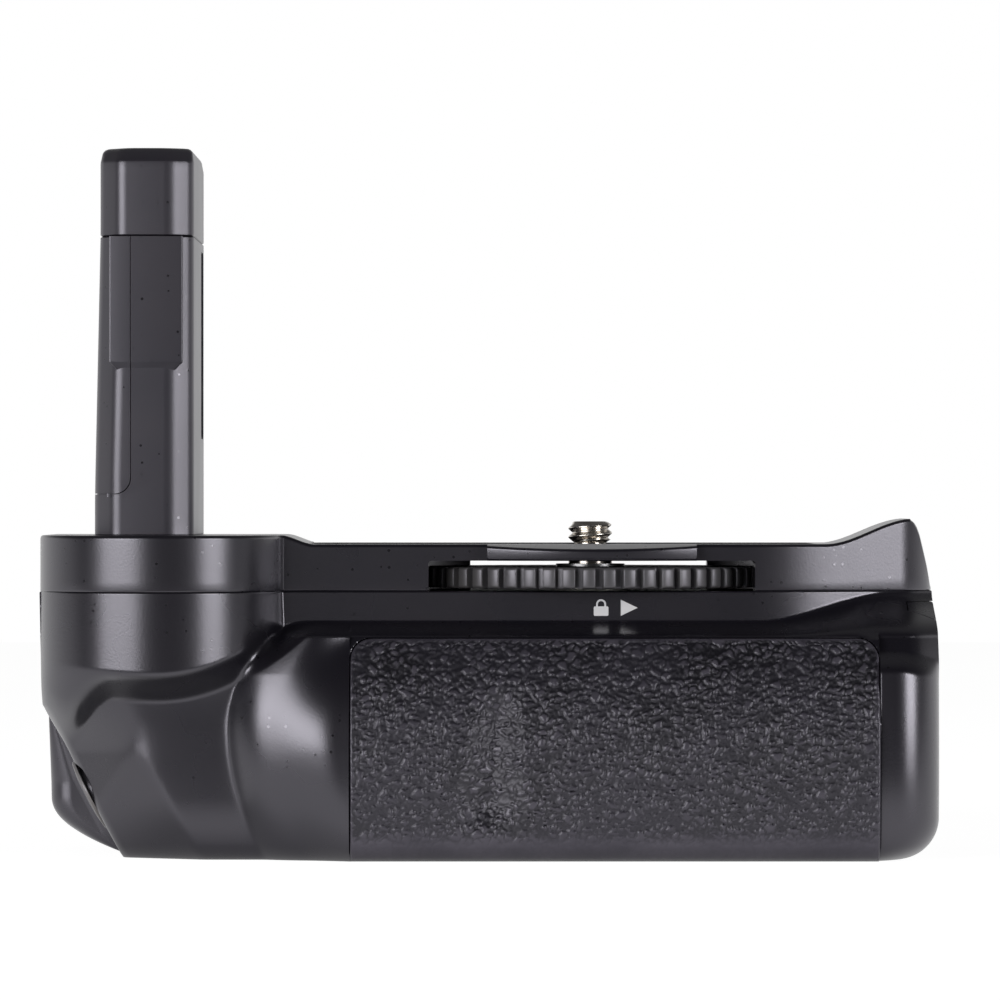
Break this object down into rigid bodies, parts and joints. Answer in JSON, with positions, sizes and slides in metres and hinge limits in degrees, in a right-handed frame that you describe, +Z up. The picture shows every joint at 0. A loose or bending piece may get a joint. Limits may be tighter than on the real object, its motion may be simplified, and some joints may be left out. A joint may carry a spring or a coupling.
{
  "type": "camera battery grip",
  "caption": "Battery grip that screws under a camera, with a battery-chamber post, a thumb wheel and screw, stacked battery slots behind an end door and a vertical shutter release.",
  "frame": {"origin": "on the camera screw's axis, in the base plane, at the mouth of the tripod socket", "axes": "+X to the right seen from the front, +Y to the rear, +Z up along the camera screw"},
  "size_m": [0.1288, 0.0595, 0.1012],
  "materials": {
    "housing": "satin black with a fine spark texture",
    "post_plastic": "satin black",
    "leatherette": "leather-grained black rubber",
    "pad_rubber": "matt black",
    "wheel_plastic": "satin black, knurled",
    "latch_plastic": "satin black",
    "bezel_grey": "pale grey",
    "nickel": "nickel plate",
    "brass": "turned",
    "gilt": "gilt",
    "steel": "zinc plated",
    "screw_steel": "blackened",
    "inner_plastic": "moulded",
    "circuit_board": "solder mask",
    "foam": "closed-cell foam",
    "nylon": "natural nylon",
    "wire_jacket": "insulated wire"
  },
  "bodies": {
    "grip_body": {"lower_shell": "housing", "upper_shell": "housing", "post_shell": "post_plastic", "post_cover": "post_plastic", "post_cap": "post_plastic", "front_grip_skin": "leatherette", "rear_grip_skin": "leatherette", "top_pad": "pad_rubber", "shutter_bezel": "bezel_grey", "tripod_socket": "brass", "post_contacts": "gilt", "bay_contacts": "gilt", "wheel_plate": "steel", "socket_plate": "steel", "hinge_pin": "steel", "shutter_spring": "steel", "post_screws": "screw_steel", "wheel_plate_screws": "screw_steel", "socket_screws": "screw_steel", "case_screws": "screw_steel", "battery_bay": "inner_plastic", "power_switch": "inner_plastic", "shutter_switch": "inner_plastic", "remote_jack": "inner_plastic", "board_chips": "inner_plastic", "main_board": "circuit_board", "bay_board": "circuit_board", "post_board": "circuit_board", "shutter_board": "circuit_board", "wheel_washer": "nylon", "wire_harness": "wire_jacket"},
    "wheel": {"locking_wheel": "wheel_plastic", "mount_screw": "nickel", "screw_clip": "steel"},
    "shutter": {"shutter_button": "latch_plastic"},
    "lock_slider": {"power_slider": "latch_plastic"},
    "door": {"battery_door": "housing", "door_pads": "foam", "latch_spring": "steel"},
    "latch": {"door_latch": "latch_plastic", "latch_bolt": "steel"}
  },
  "joints": [
    {"name": "wheel_turn", "type": "hinge", "parent": "grip_body", "child": "wheel", "pos_m": [0, 0, 0.04], "axis": [0, 0, 1], "continuous": true},
    {"name": "shutter_press", "type": "slide", "parent": "grip_body", "child": "shutter", "axis": [0.8862, 0, 0.4633], "range_m": [0, 0.0006], "stiffness_N_per_m": 1500, "springref_m": -0.0003},
    {"name": "lock_slide", "type": "slide", "parent": "grip_body", "child": "lock_slider", "axis": [1, 0, 0], "range_m": [0, 0.004]},
    {"name": "door_swing", "type": "hinge", "parent": "grip_body", "child": "door", "pos_m": [0.0458, 0, 0.0043], "axis": [0, 1, 0], "range_deg": [0, 90]},
    {"name": "latch_slide", "type": "slide", "parent": "door", "child": "latch", "axis": [0, 0, -1], "range_m": [0, 0.0025], "stiffness_N_per_m": 250, "springref_m": -0.001, "deforming": ["latch_spring"]}
  ]
}
